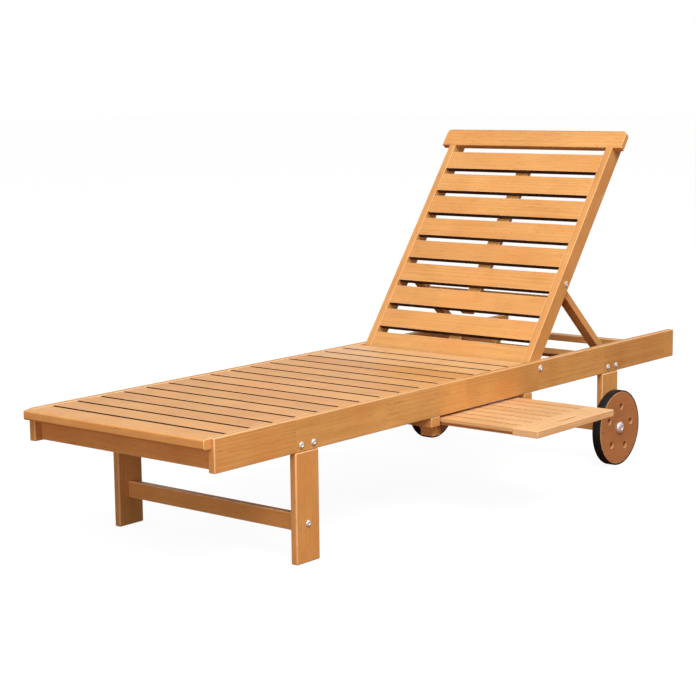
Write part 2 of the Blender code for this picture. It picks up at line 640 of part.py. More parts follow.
# ---- tray: one glued panel, a slotted front board and slats on cleats, between two runners ------
def make_tray():
    back_of_board = TRAY_FRONT + FRONT_BOARD_WIDTH
    panel = box("tray_panel", (TRAY_START, TRAY_FRONT, TRAY_BOTTOM),
                (TRAY_END, back_of_board, TRAY_TOP))
    half = HANDLE_SLOT_LENGTH / 2
    radius = (half ** 2 + HANDLE_SLOT_DEPTH ** 2) / (2 * HANDLE_SLOT_DEPTH)
    swing = math.degrees(math.asin(half / radius))
    outline = arc((0, radius - HANDLE_SLOT_DEPTH), radius, 270 - swing, 270 + swing, 2 * CORNER_STEPS)
    middle = (TRAY_START + TRAY_WIDTH / 2, TRAY_FRONT + HANDLE_SLOT_FROM_EDGE,
              (TRAY_TOP + TRAY_BOTTOM) / 2)
    cut(panel, plate("handle_slot", outline, TRAY_THICKNESS + 2 * CUT_PAST, middle, (0, 0, 0),
                     collection=cutters))

    slat_front = back_of_board - TRAY_TENON
    slat_back = TRAY_FRONT + TRAY_LENGTH
    slat_bottom = TRAY_TOP - TRAY_SLAT_THICKNESS
    pitch = (TRAY_WIDTH + TRAY_GROOVE) / TRAY_SLAT_COUNT
    add_cleats(panel, slat_front, slat_back, slat_bottom)
    for number in range(TRAY_SLAT_COUNT):
        start = TRAY_START + number * pitch
        join(panel, box(f"tray_slat_{number + 1}", (start, slat_front, slat_bottom),
                        (start + pitch - TRAY_GROOVE, slat_back, TRAY_TOP), collection=cutters))
    finish(panel, SEAT_HARDWOOD)


def add_cleats(panel, front, back, slat_bottom):
    """A back cleat ties the slats underneath, and a cleat along each side stiffens the edge."""
    top = slat_bottom + TRAY_SLAT_THICKNESS / 2
    join(panel, box("tray_back_cleat",
                    (TRAY_START + TRAY_SIDE_CLEAT_INSET, back - TRAY_BACK_CLEAT_WIDTH, TRAY_BOTTOM),
                    (TRAY_END - TRAY_SIDE_CLEAT_INSET, back - WOOD_EDGE, top), collection=cutters))
    for word, start in (("foot", TRAY_START + TRAY_SIDE_CLEAT_INSET),
                        ("head", TRAY_END - TRAY_SIDE_CLEAT_INSET - TRAY_SIDE_CLEAT_WIDTH)):
        join(panel, box(f"tray_side_cleat_{word}", (start, front, TRAY_BOTTOM),
                        (start + TRAY_SIDE_CLEAT_WIDTH, back - 2 * WOOD_EDGE, top), collection=cutters))


def make_runner(word, bar_start, tray_edge, direction):
    """A bar under both rails, a keeper lip over the tray's edge and a bearer block under it at
    each end. direction is +1 where the tray lies towards the head, -1 where towards the foot."""
    top = RAIL_BOTTOM - REST_GAP
    bar = box("tray_runner_" + word, (bar_start, -HALF_WIDTH, top - RUNNER_DEPTH),
              (bar_start + RUNNER_WIDTH, HALF_WIDTH, top))
    face = bar_start + RUNNER_WIDTH if direction > 0 else bar_start
    root = face - direction * BEARER_ROOT
    reach = INNER_FACE - REST_GAP
    lip = sorted((root, tray_edge + direction * KEEPER_OVERLAP))
    join(bar, box("keeper_" + word, (lip[0], -reach, top - KEEPER_THICKNESS), (lip[1], reach, top),
                  collection=cutters))
    web = tray_edge - direction * TRAY_SIDE_CLEARANCE
    block = tray_edge + direction * BEARER_OVERLAP
    block_top = TRAY_BOTTOM - TRAY_SIDE_CLEARANCE
    outline = [(root, block_top - BEARER_DEPTH), (block, block_top - BEARER_DEPTH), (block, block_top),
               (web, block_top), (web, top), (root, top)]
    for side, end in SIDES:
        middle = side * (reach - BEARER_LENGTH / 2)
        join(bar, plate(f"bearer_{word}_{end}", outline, BEARER_LENGTH, (0, middle, 0), UPRIGHT,
                        collection=cutters))
    finish(bar, OILED_HARDWOOD)


# ---- build -----------------------------------------------------------------------------------
for side, word in SIDES:
    make_rail(side, word)
    make_legs(side, word)
    make_rack(side, word)
    make_wheel(side, word)
make_cross_members()
make_seat()
make_backrest()
make_prop()
make_pivot_bolts()
make_axle()
make_tray()
make_runner("foot", RUNNER_START, TRAY_START, 1)
make_runner("head", TRAY_END + SECOND_RUNNER_GAP, TRAY_END, -1)
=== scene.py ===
import json
import math
import random

import bpy
from mathutils import Matrix, Quaternion, Vector


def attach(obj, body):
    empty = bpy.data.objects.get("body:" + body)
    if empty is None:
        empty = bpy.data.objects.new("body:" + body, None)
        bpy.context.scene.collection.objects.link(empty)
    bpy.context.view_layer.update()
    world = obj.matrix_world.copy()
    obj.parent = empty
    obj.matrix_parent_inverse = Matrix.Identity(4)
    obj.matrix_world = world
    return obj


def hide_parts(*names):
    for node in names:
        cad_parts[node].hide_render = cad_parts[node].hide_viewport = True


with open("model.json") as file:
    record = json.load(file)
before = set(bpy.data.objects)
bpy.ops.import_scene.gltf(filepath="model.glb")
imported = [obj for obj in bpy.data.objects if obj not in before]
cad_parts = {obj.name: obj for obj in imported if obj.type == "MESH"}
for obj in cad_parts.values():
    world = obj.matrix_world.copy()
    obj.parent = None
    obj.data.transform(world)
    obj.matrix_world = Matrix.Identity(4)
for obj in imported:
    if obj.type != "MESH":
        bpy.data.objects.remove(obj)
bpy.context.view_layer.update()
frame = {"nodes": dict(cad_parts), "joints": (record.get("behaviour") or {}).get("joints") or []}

nodes = frame["nodes"]
joints = {joint["name"]: joint for joint in frame["joints"]}


# ---- side rails -------------------------------------------------------------------------------
# Two long rails of oiled eucalyptus, finger-jointed from shorter staves and sanded, with their
# edges eased by hand. The legs are half lapped into their inner faces, and a bolt through each
# carries the backrest.

STAVE_LENGTH = 0.33          # between finger joints along a rail
BOARD_CELL = 4.0             # a plain board lies inside one such length, so it has one tone
RING_SPACING = 0.0052        # growth rings, coarser than real so that they show at this distance
FIBRE = (7.0, 230.0, 230.0)  # streaks per metre along, across and through the board
FLECK = (38.0, 520.0, 520.0)  # pores are finer than this, and are drawn this coarse to show
EASE = 0.0024                # radius of the eased edges
EASE_STEPS = 3
FLAT_FACE = 0.0004           # square metres from which a face is a board's flat side
SHADING_ANGLE = math.radians(35)
SAME_POINT = 0.00002
SAME_PLANE = math.radians(0.5)
OIL_IOR = 1.48
OIL_COAT = 0.15              # the oil stands a little proud of the fibres
OIL_COAT_ROUGHNESS = 0.28
LEVEL = Matrix.Identity(4)
rng = random.Random(7)


def linear(code):
    """A colour written as sRGB hex, as the linear values that a shader takes."""
    channels = [int(code[i:i + 2], 16) / 255 for i in (1, 3, 5)]
    return [c / 12.92 if c <= 0.04045 else ((c + 0.055) / 1.055) ** 2.4 for c in channels] + [1.0]


def add_node(tree, kind, settings, inputs):
    """Add a node with its settings, and give each input a value or a link."""
    node = tree.nodes.new(kind)
    for key, value in settings.items():
        setattr(node, key, value)
    for key, value in inputs.items():
        if isinstance(value, bpy.types.NodeSocket):
            tree.links.new(value, node.inputs[key])
        else:
            node.inputs[key].default_value = value
    return node


def new_material(name):
    material = bpy.data.materials.new(name)
    material.use_nodes = True
    return material, material.node_tree, material.node_tree.nodes["Principled BSDF"]


def arithmetic(tree, operation, first, second, third=0.0):
    return add_node(tree, "ShaderNodeMath", {"operation": operation},
                    {0: first, 1: second, 2: third}).outputs[0]


def oiled_wood(name, dark, pale, warm, fleck, roughness, stave_length, tone_spread):
    """Oiled eucalyptus, sanded along the grain: a satin surface with fine darker streaks, faint
    growth rings, short dark pores, and a slightly different tone in each glued stave."""
    material, tree, shader = new_material(name)
    grain = add_node(tree, "ShaderNodeAttribute", {"attribute_name": "grain"}, {}).outputs["Vector"]
    along = add_node(tree, "ShaderNodeSeparateXYZ", {}, {0: grain}).outputs["X"]
    stave = arithmetic(tree, "FLOOR", arithmetic(tree, "DIVIDE", along, stave_length), 0.0)
    draw = add_node(tree, "ShaderNodeTexWhiteNoise", {"noise_dimensions": "1D"}, {"W": stave})
    log = add_node(tree, "ShaderNodeVectorMath", {"operation": "MULTIPLY_ADD"},
                   {0: draw.outputs["Color"], 1: (3.0, 0.16, 0.16), 2: grain}).outputs[0]
    rings = add_node(tree, "ShaderNodeVectorMath", {"operation": "MULTIPLY"},
                     {0: log, 1: (0.05, 1.0, 1.0)}).outputs[0]
    ring = add_node(tree, "ShaderNodeTexWave", {"wave_type": "RINGS", "rings_direction": "X"},
                    {"Vector": rings, "Scale": 0.314 / RING_SPACING, "Distortion": 2.6,
                     "Detail": 3.0, "Detail Scale": 0.6, "Detail Roughness": 0.6}).outputs["Fac"]
    streaks = add_node(tree, "ShaderNodeVectorMath", {"operation": "MULTIPLY"},
                       {0: log, 1: FIBRE}).outputs[0]
    fibre = add_node(tree, "ShaderNodeTexNoise", {}, {"Vector": streaks, "Scale": 1.0, "Detail": 5.0,
                                                      "Roughness": 0.62}).outputs["Fac"]
    pores = add_node(tree, "ShaderNodeVectorMath", {"operation": "MULTIPLY"},
                     {0: log, 1: FLECK}).outputs[0]
    pore = add_node(tree, "ShaderNodeTexNoise", {},
                    {"Vector": pores, "Scale": 1.0, "Detail": 1.0}).outputs["Fac"]
    pore = add_node(tree, "ShaderNodeMapRange", {"interpolation_type": "SMOOTHSTEP"},
                    {"Value": pore, "From Min": 0.62, "From Max": 0.76}).outputs[0]
    cloud = add_node(tree, "ShaderNodeTexNoise", {},
                     {"Vector": log, "Scale": 9.0, "Detail": 2.0}).outputs["Fac"]
    tone = arithmetic(tree, "MULTIPLY_ADD", draw.outputs["Value"], tone_spread,
                      0.17 - tone_spread / 2)
    tone = arithmetic(tree, "MULTIPLY_ADD", ring, 0.16, tone)
    tone = arithmetic(tree, "MULTIPLY_ADD", fibre, 0.72, tone)
    tone = arithmetic(tree, "MULTIPLY_ADD", cloud, 0.6, tone)
    tone = add_node(tree, "ShaderNodeMapRange", {},
                    {"Value": tone, "From Min": 0.45, "From Max": 1.25}).outputs[0]
    colour = add_node(tree, "ShaderNodeMix", {"data_type": "RGBA"},
                      {0: tone, 6: linear(dark), 7: linear(pale)}).outputs[2]
    warmth = add_node(tree, "ShaderNodeTexNoise", {},
                      {"Vector": log, "Scale": 5.0, "Detail": 1.0}).outputs["Fac"]
    warmth = add_node(tree, "ShaderNodeMapRange", {}, {"Value": warmth, "From Min": 0.5,
                                                       "From Max": 0.8, "To Max": 0.55}).outputs[0]
    colour = add_node(tree, "ShaderNodeMix", {"data_type": "RGBA"},
                      {0: warmth, 6: colour, 7: linear(warm)}).outputs[2]
    spot = arithmetic(tree, "MULTIPLY", pore, 0.45)
    colour = add_node(tree, "ShaderNodeMix", {"data_type": "RGBA"},
                      {0: spot, 6: colour, 7: linear(fleck)}).outputs[2]
    gloss = arithmetic(tree, "MULTIPLY_ADD", fibre, 0.16, roughness - 0.08)
    height = arithmetic(tree, "SUBTRACT", fibre, pore)
    bump = add_node(tree, "ShaderNodeBump", {}, {"Height": height, "Strength": 0.25,
                                                 "Distance": 0.0004}).outputs[0]
    for socket, value in (("Base Color", colour), ("Roughness", gloss), ("Normal", bump)):
        tree.links.new(value, shader.inputs[socket])
    shader.inputs["IOR"].default_value = OIL_IOR
    shader.inputs["Coat Weight"].default_value = OIL_COAT
    shader.inputs["Coat Roughness"].default_value = OIL_COAT_ROUGHNESS
    return material


JOINTED = oiled_wood("oiled_eucalyptus_jointed", "#B67A3E", "#DEA45C", "#D28038", "#76421C", 0.46,
                     STAVE_LENGTH, 0.32)
WHOLE = oiled_wood("oiled_eucalyptus_whole_board", "#BE7E40", "#E2A660", "#D88E48", "#84491F", 0.44,
                   BOARD_CELL, 0.22)
# A paler wood as a painted highlight along every eased edge.
EDGE_HIGHLIGHT_WOOD = oiled_wood("oiled_eucalyptus_painted_edge_highlight", "#D09A64", "#F0C08C", "#E6AA70", "#9E6636", 0.4,
                  BOARD_CELL, 0.2)


def extent(node, tilt=LEVEL):
    """Lowest and highest corner of a CAD node, measured along the axes of a tilted frame."""
    back = tilt.inverted()
    corners = [back @ vertex.co for vertex in nodes[node].data.vertices]
    low = Vector([min(corner[axis] for corner in corners) for axis in range(3)])
    high = Vector([max(corner[axis] for corner in corners) for axis in range(3)])
    return low, high


def alone(piece):
    """Leave only this piece selected, so that an operator acts on nothing else."""
    bpy.ops.object.select_all(action="DESELECT")
    piece.select_set(True)
    bpy.context.view_layer.objects.active = piece


def cube(name, low, high):
    bpy.ops.object.select_all(action="DESELECT")
    bpy.ops.mesh.primitive_cube_add(size=1, location=(low + high) / 2)
    piece = bpy.context.object
    piece.name = name
    piece.scale = high - low
    bpy.ops.object.transform_apply(location=True, rotation=True, scale=True)
    return piece


def apply_all(piece):
    alone(piece)
    for modifier in list(piece.modifiers):
        bpy.ops.object.modifier_apply(modifier=modifier.name)


def ease_edges(piece, width=EASE, segments=EASE_STEPS):
    """Round every sharp edge, and give the rounding the second material, a paler wood as a painted
    highlight.
    """
    bevel = piece.modifiers.new("ease", "BEVEL")
    bevel.width = width
    bevel.segments = segments
    bevel.angle_limit = math.radians(30)
    bevel.use_clamp_overlap = False
    bevel.material = 1
    apply_all(piece)


def wooden(piece, tilt=LEVEL, grain="X"):
    """Shade a piece, mark where its wood lies in the log, and put it in its place."""
    order = {"X": (0, 1, 2), "Y": (1, 0, 2), "Z": (2, 1, 0)}[grain]
    cell = BOARD_CELL * (rng.randrange(40) + 0.5)
    start = Vector((cell, rng.uniform(-0.05, 0.05), rng.uniform(-0.05, 0.05)))
    corners = [vertex.co for vertex in piece.data.vertices]
    middle = sum(corners, Vector()) / len(corners)
    marks = piece.data.attributes.new("grain", "FLOAT_VECTOR", "POINT")
    places = []
    for corner in corners:
        local = corner - middle
        places.extend(start + Vector([local[axis] for axis in order]))
    marks.data.foreach_set("vector", places)
    alone(piece)
    bpy.ops.object.shade_smooth_by_angle(angle=SHADING_ANGLE)
    for polygon in piece.data.polygons:
        polygon.use_smooth = polygon.area < FLAT_FACE
    piece.data.transform(tilt)
    piece.data.update()


def belong(piece, body, slot, *replaced):
    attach(piece, body)
    if replaced:
        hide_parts(*replaced)
    return piece


# The second material, on every rounding, is the paler edge wood: a painted highlight.
def timber(piece, wood):
    piece.data.materials.clear()
    piece.data.materials.append(wood)
    piece.data.materials.append(EDGE_HIGHLIGHT_WOOD)


def squared(name, low, high, wood, width):
    """A block between two corners, eased along all its edges."""
    piece = cube(name, low, high)
    timber(piece, wood)
    bpy.ops.object.mode_set(mode="EDIT")
    bpy.ops.mesh.select_all(action="SELECT")
    bpy.ops.mesh.bevel(offset=width, segments=EASE_STEPS, affect="EDGES", material=1)
    bpy.ops.object.mode_set(mode="OBJECT")
    return piece


def plank(node, body, tilt=LEVEL, grain="X", slot="oiled_hardwood", wood=WHOLE, width=EASE):
    """A plain board, squared up and then eased all round."""
    piece = squared(node + "_board", *extent(node, tilt), wood, width)
    wooden(piece, tilt, grain)
    return belong(piece, body, slot, node)


def from_solid(node, tilt=LEVEL, wood=WHOLE):
    """A copy of a CAD solid as a clean block of wood, with its flat faces whole again."""
    piece = bpy.data.objects.new(node + "_board", nodes[node].data.copy())
    bpy.context.scene.collection.objects.link(piece)
    piece.data.transform(tilt.inverted())
    timber(piece, wood)
    for name in [attribute.name for attribute in piece.data.attributes
                 if attribute.name.startswith(("custom_normal", "sharp"))]:
        piece.data.attributes.remove(piece.data.attributes[name])
    alone(piece)
    bpy.ops.object.mode_set(mode="EDIT")
    bpy.ops.mesh.select_all(action="SELECT")
    bpy.ops.mesh.remove_doubles(threshold=SAME_POINT)
    bpy.ops.mesh.dissolve_limited(angle_limit=SAME_PLANE)
    bpy.ops.object.mode_set(mode="OBJECT")
    return piece


def joinery(node, body, tilt=LEVEL, grain="X", width=EASE, wood=WHOLE):
    """A board with laps, bores or a shaped outline: the solid's own shape with eased edges."""
    piece = from_solid(node, tilt, wood)
    ease_edges(piece, width)
    wooden(piece, tilt, grain)
    return belong(piece, body, "oiled_hardwood", node)


for side in ("left", "right"):
    joinery("rail_" + side, "frame", wood=JOINTED)


# ---- legs and stretchers ----------------------------------------------------------------------
# Flat legs, lapped into the rails up to a rounded shoulder. A stretcher between the front legs
# and another between the back legs stiffen them; each is screwed through the legs.

LEG_EASE = 0.003

for side in ("left", "right"):
    joinery("front_leg_" + side, "frame", grain="Z", width=LEG_EASE)
    joinery("back_leg_" + side, "frame", grain="Z", width=LEG_EASE)
plank("front_stretcher", "frame", grain="Y")
plank("rear_stretcher", "frame", grain="Y")


# ---- cross rails ------------------------------------------------------------------------------
# The apron behind the nose slat and the rail near the head end hold the two side rails apart.
# Both are plain boards, butted between the rails and screwed from outside.

plank("foot_apron", "frame", grain="Y")
plank("head_cross_rail", "frame", grain="Y")


# ---- seat slats and ledgers -------------------------------------------------------------------
# Fifteen plain slats and a thicker nose slat, screwed down on two ledgers under their ends. The
# nose slat laps over the rail ends, and its front edge is rounded for the calves.

NOSE_ROUND = 0.0055
NOSE_EASE = 0.0015
NOSE_STEPS = 8
SLAT_EASE = 0.0009
FIRST_LIT_SLAT = 14         # from here to the backrest the slats take the paler wood, painted light where the backrest shades them
LAST_SLAT = 16
ALONG_SEAT = Vector((1, 0, 0))
FACES_THE_GAP = 0.8          # cosine between a face's normal and the way across the gap
# A paler wood as painted light: on the slats by the backrest, which it shades, and on the tray, in
# the rail's shade.
PAINTED_LIGHT_WOOD = oiled_wood("oiled_eucalyptus_painted_light_board", "#CC9258", "#EEBE88", "#E2A870", "#8E5628", 0.44,
                  BOARD_CELL, 0.22)
# A near black wood as painted shade on the slat sides that face the gaps.
GAP_SHADE_WOOD = oiled_wood("oiled_eucalyptus_painted_gap_shade", "#30140A", "#4A220E", "#3C1808", "#1E0C04", 0.6,
                      BOARD_CELL, 0.2)


def make_nose():
    name = "seat_slat_01"
    piece = from_solid(name)
    front = min(vertex.co.x for vertex in piece.data.vertices)
    bevel_weight = piece.data.attributes.new("bevel_weight_edge", "FLOAT", "EDGE")
    for edge in piece.data.edges:
        ends = [piece.data.vertices[index].co for index in edge.vertices]
        at_front = all(abs(end.x - front) < 1e-4 for end in ends)
        is_long = abs(ends[0].y - ends[1].y) > 0.1
        bevel_weight.data[edge.index].value = 1.0 if at_front and is_long else 0.0
    rounding = piece.modifiers.new("nose", "BEVEL")
    rounding.limit_method = "WEIGHT"
    rounding.width = NOSE_ROUND
    rounding.segments = NOSE_STEPS
    apply_all(piece)
    ease_edges(piece, NOSE_EASE)
    wooden(piece, grain="Y")
    belong(piece, "frame", "seat_hardwood", name)


def paint_gap_shade(piece, axis):
    """Give the faces that look into the gaps a near black wood, as painted shade in the gaps."""
    piece.data.materials.append(GAP_SHADE_WOOD)
    for polygon in piece.data.polygons:
        if abs(polygon.normal.dot(axis)) > FACES_THE_GAP:
            polygon.material_index = 2


make_nose()
for number in range(2, LAST_SLAT + 1):
    wood = PAINTED_LIGHT_WOOD if number >= FIRST_LIT_SLAT else WHOLE
    slat = plank(f"seat_slat_{number:02d}", "frame", grain="Y", slot="seat_hardwood", wood=wood,
                 width=SLAT_EASE)
    paint_gap_shade(slat, ALONG_SEAT)
for side in ("left", "right"):
    plank("seat_ledger_" + side, "frame")


# ---- backrest ---------------------------------------------------------------------------------
# Two stiles carry nine slats let in between them, a cap board over their tops with rounded
# corners, and two battens screwed down the middle of the slats' backs.

RECLINE = math.radians(53.05)    # slope of the raised backrest
BACKREST_EASE = 0.0012
BACKREST_SLATS = 9
pivot = Vector(joints["backrest_recline"]["pos_m"])
on_backrest = Matrix.Translation(pivot) @ Matrix.Rotation(-RECLINE, 4, "Y")

for side in ("left", "right"):
    joinery("stile_" + side, "backrest", on_backrest, width=BACKREST_EASE)
joinery("backrest_cap", "backrest", on_backrest, grain="Y", width=BACKREST_EASE)
along_backrest = Vector((math.cos(RECLINE), 0, math.sin(RECLINE)))
for number in range(1, BACKREST_SLATS + 1):
    slat = plank(f"backrest_slat_{number}", "backrest", on_backrest, grain="Y", width=SLAT_EASE)
    paint_gap_shade(slat, along_backrest)
plank("upper_batten", "backrest", on_backrest)
plank("lower_batten", "backrest", on_backrest)


# ---- prop and racks ---------------------------------------------------------------------------
# Two arms hang from bolts through the stiles. A cross rail ties them near the top, and a foot
# bar joins their lower ends and stands on notched racks screwed inside the side rails.

RACK_EASE = 0.0015
prop_pivot = Vector(joints["prop_swing"]["pos_m"])
foot_bar_middle = sum(extent("foot_bar"), Vector()) / 2
reach = foot_bar_middle - prop_pivot
on_prop = (Matrix.Translation(Vector((prop_pivot.x, 0, prop_pivot.z)))
           @ Matrix.Rotation(math.atan2(-reach.z, reach.x), 4, "Y"))

for side in ("left", "right"):
    joinery("prop_arm_" + side, "prop", on_prop)
    joinery("rack_" + side, "frame", width=RACK_EASE)
plank("prop_cross_rail", "prop", on_prop, grain="Y")
plank("foot_bar", "prop", on_prop, grain="Y")


# ---- wheels -----------------------------------------------------------------------------------
# Each wheel is a disc turned from a glued board, with five holes bored round its bolt and a
# strip of black rubber stretched over its rim as the tyre.

WHEEL_STEPS = 128
HOLE_STEPS = 40
HOLE_RADIUS = 0.009
HOLE_CIRCLE = 0.0604
HOLE_START = math.radians(10.5)
HOLES = 5
BORE_RADIUS = 0.0061
DISC_EASE = 0.0009
TYRE_WALL = 0.004
TYRE_EASE = 0.0012
TYRE_SHADING_ANGLE = math.radians(40)
CUTTER_OVERRUN = 0.01        # how far a cutter stands out of what it cuts
RUBBER_IOR = 1.4
# A darker wood: the wheel discs' own colour, and painted shade on the tray's side cleats.
DISC_AND_CLEAT_SHADE_WOOD = oiled_wood("oiled_eucalyptus_disc_and_painted_cleat_shade", "#985C32", "#BE7E4C", "#AC683A", "#6A3A1C", 0.5,
                    BOARD_CELL, 0.22)


def vulcanised_rubber():
    """Smooth black rubber strip: near black, with a broad dull shine and fine dust."""
    material, tree, shader = new_material("black_rubber")
    place = add_node(tree, "ShaderNodeTexCoord", {}, {}).outputs["Object"]
    dust = add_node(tree, "ShaderNodeTexNoise", {},
                    {"Vector": place, "Scale": 90.0, "Detail": 4.0}).outputs["Fac"]
    colour = add_node(tree, "ShaderNodeMix", {"data_type": "RGBA"},
                      {0: dust, 6: linear("#060809"), 7: linear("#14181A")}).outputs[2]
    gloss = arithmetic(tree, "MULTIPLY_ADD", dust, 0.2, 0.42)
    bump = add_node(tree, "ShaderNodeBump", {}, {"Height": dust, "Strength": 0.2,
                                                 "Distance": 0.0003}).outputs[0]
    for socket, value in (("Base Color", colour), ("Roughness", gloss), ("Normal", bump)):
        tree.links.new(value, shader.inputs[socket])
    shader.inputs["IOR"].default_value = RUBBER_IOR
    return material


RUBBER = vulcanised_rubber()


def rod(name, radius, centre, low, high, steps=HOLE_STEPS, ends="NGON"):
    """A cylinder along Y between two Y values, round an (x, z) centre."""
    bpy.ops.object.select_all(action="DESELECT")
    bpy.ops.mesh.primitive_cylinder_add(vertices=steps, radius=radius, depth=high - low,
                                        location=(centre[0], (low + high) / 2, centre[1]),
                                        rotation=(math.pi / 2, 0, 0), end_fill_type=ends)
    piece = bpy.context.object
    piece.name = name
    bpy.ops.object.transform_apply(location=True, rotation=True, scale=True)
    return piece


def cut_with(piece, cutter, operation="DIFFERENCE"):
    """Cut a piece with another, or weld the other on, and take the other away."""
    boolean = piece.modifiers.new("cut", "BOOLEAN")
    boolean.operation = operation
    boolean.object = cutter
    apply_all(piece)
    bpy.data.objects.remove(cutter, do_unlink=True)


def make_wheel(side):
    tyre_low, tyre_high = extent("tyre_" + side)
    disc_low, disc_high = extent("wheel_disc_" + side)
    middle = (tyre_low + tyre_high) / 2
    centre = (middle.x, middle.z)
    body = "wheel_" + side

    disc = rod(f"wheel_{side}_disc", (disc_high.x - disc_low.x) / 2, centre, disc_low.y, disc_high.y,
               WHEEL_STEPS)
    timber(disc, DISC_AND_CLEAT_SHADE_WOOD)
    through = (disc_low.y - CUTTER_OVERRUN, disc_high.y + CUTTER_OVERRUN)
    cut_with(disc, rod("bore", BORE_RADIUS, centre, *through))
    for number in range(HOLES):
        turn = HOLE_START + number * math.tau / HOLES
        place = (centre[0] + HOLE_CIRCLE * math.cos(turn), centre[1] + HOLE_CIRCLE * math.sin(turn))
        cut_with(disc, rod("hole", HOLE_RADIUS, place, *through))
    ease_edges(disc, DISC_EASE, 2)
    wooden(disc, grain="X")
    belong(disc, body, "oiled_hardwood", "wheel_disc_" + side)

    tyre = rod(f"wheel_{side}_tyre", (tyre_high.x - tyre_low.x) / 2, centre, tyre_low.y, tyre_high.y,
               WHEEL_STEPS, "NOTHING")
    wall = tyre.modifiers.new("wall", "SOLIDIFY")
    wall.thickness = TYRE_WALL
    wall.offset = -1
    rim = tyre.modifiers.new("rim", "BEVEL")
    rim.width = TYRE_EASE
    rim.segments = EASE_STEPS
    rim.angle_limit = TYRE_SHADING_ANGLE
    apply_all(tyre)
    tyre.data.materials.append(RUBBER)
    bpy.ops.object.shade_smooth_by_angle(angle=TYRE_SHADING_ANGLE)
    belong(tyre, body, "tyre_rubber", "tyre_" + side)


make_wheel("left")
make_wheel("right")


# ---- axle and bolts ---------------------------------------------------------------------------
# Zinc plated steel throughout: one axle rod through both back legs with a collar and a domed cap
# at each wheel, button head bolts at every joint, and hexagon nuts on their inner ends.

SOCKET_SHARE = 0.42          # hexagon socket across a bolt head
SOCKET_DEPTH = 0.0016
SOCKET_OVERRUN = 0.002
DOME_STEPS = 48
DOME_RIM = 0.38              # height of a dome's upright rim, as a share of the dome's
DOME = ((0.10, 0.26), (0.16, 0.20), (0.22, 0.12), (0.14, 0.04))  # inset and rise of each ring
METAL_SHADING_ANGLE = math.radians(32)
ZINC_METALLIC = 0.85         # the plating is a little cloudy
REST_GAP = 0.0003            # between faces that touch
SHANK_RADIUS = 0.0039
SHANK_OVERRUN = 0.004        # of the thread past the nut's seat
NUT = (0.0068, 0.0048)       # radius over the corners, and thickness
WASHER_RADIUS = 0.0095
PIVOT_HEAD = (0.0085, 0.0032)  # radius and height of the heads
PROP_HEAD = (0.0082, 0.0021)
FRAME_HEAD = (0.008, 0.003)
LEG_BOLTS = {"front": (-0.0199, 0.0232), "back": (-0.0133, 0.0299)}  # from the leg's middle line
LEG_BOLT_HEIGHT = 0.0156     # above the rail's lower edge
AXLE_RADIUS = 0.006
AXLE_INTO_CAP = 0.002
AXLE_CAP_RADIUS = 0.0165
COLLAR_RADIUS = 0.012


def bright_zinc():
    """Zinc plated steel: a bright, slightly cloudy metal with soft highlights."""
    material, tree, shader = new_material("bright_zinc_steel")
    place = add_node(tree, "ShaderNodeTexCoord", {}, {}).outputs["Object"]
    cloud = add_node(tree, "ShaderNodeTexNoise", {},
                     {"Vector": place, "Scale": 260.0, "Detail": 3.0}).outputs["Fac"]
    colour = add_node(tree, "ShaderNodeMix", {"data_type": "RGBA"},
                      {0: cloud, 6: linear("#E4E5E6"), 7: linear("#FDFDFC")}).outputs[2]
    gloss = arithmetic(tree, "MULTIPLY_ADD", cloud, 0.2, 0.42)
    for socket, value in (("Base Color", colour), ("Roughness", gloss)):
        tree.links.new(value, shader.inputs[socket])
    shader.inputs["Metallic"].default_value = ZINC_METALLIC
    return material


ZINC = bright_zinc()


def between(first, second):
    return min(first, second), max(first, second)


def button(name, centre, face, side, radius, height):
    """A domed head with a hexagon socket, standing on a face and looking to one side."""
    tip = face + side * height
    head = rod(name, radius, centre, *between(face, tip), DOME_STEPS)
    bpy.ops.object.mode_set(mode="EDIT")
    bpy.ops.mesh.select_all(action="DESELECT")
    bpy.ops.object.mode_set(mode="OBJECT")
    for polygon in head.data.polygons:
        polygon.select = polygon.normal.y * side > 0.9
    bpy.ops.object.mode_set(mode="EDIT")
    bpy.ops.mesh.select_mode(type="FACE")
    bpy.ops.transform.translate(value=(0, -side * height * (1 - DOME_RIM), 0))
    for inset, rise in DOME:
        bpy.ops.mesh.inset(thickness=radius * inset, depth=0)
        bpy.ops.transform.translate(value=(0, side * height * rise, 0))
    bpy.ops.object.mode_set(mode="OBJECT")
    socket = between(tip - side * SOCKET_DEPTH, tip + side * SOCKET_OVERRUN)
    cut_with(head, rod("socket", radius * SOCKET_SHARE, centre, *socket, 6))
    return head


def metal(piece, body, *replaced):
    piece.data.materials.clear()
    piece.data.materials.append(ZINC)
    alone(piece)
    bpy.ops.object.shade_smooth_by_angle(angle=METAL_SHADING_ANGLE)
    belong(piece, body, "zinc_steel", *replaced)


def join_up(pieces, name):
    """Weld touching or overlapping solids into one piece."""
    first = pieces[0]
    for other in pieces[1:]:
        cut_with(first, other, "UNION")
    first.name = name
    return first


def bolt(name, body, centre, head_face, head, nut_face, *replaced, washer=None):
    """A bolt from its head, on one face, through to the nut on another."""
    side = 1 if head_face > nut_face else -1
    radius, height = head
    parts = [button("head", centre, head_face, side, radius, height)]
    shank = between(head_face + side * height * 0.3, nut_face - side * SHANK_OVERRUN)
    parts.append(rod("shank", SHANK_RADIUS, centre, *shank))
    parts.append(rod("nut", NUT[0], centre, *between(nut_face, nut_face - side * NUT[1]), 6))
    if washer:
        parts.append(rod("washer", WASHER_RADIUS, centre, *between(*washer)))
    metal(join_up(parts, name), body, *replaced)


def faces(node, side):
    """A board's outer and inner face, as seen from one side of the lounger."""
    low, high = extent(node)
    return (high.y, low.y) if side > 0 else (low.y, high.y)


def frame_bolt(name, centre, face, side):
    """A bolt whose shank is buried in the joint, so that only its head is modelled."""
    head = button("head", centre, face, side, *FRAME_HEAD)
    metal(head, "frame")
    head.name = name


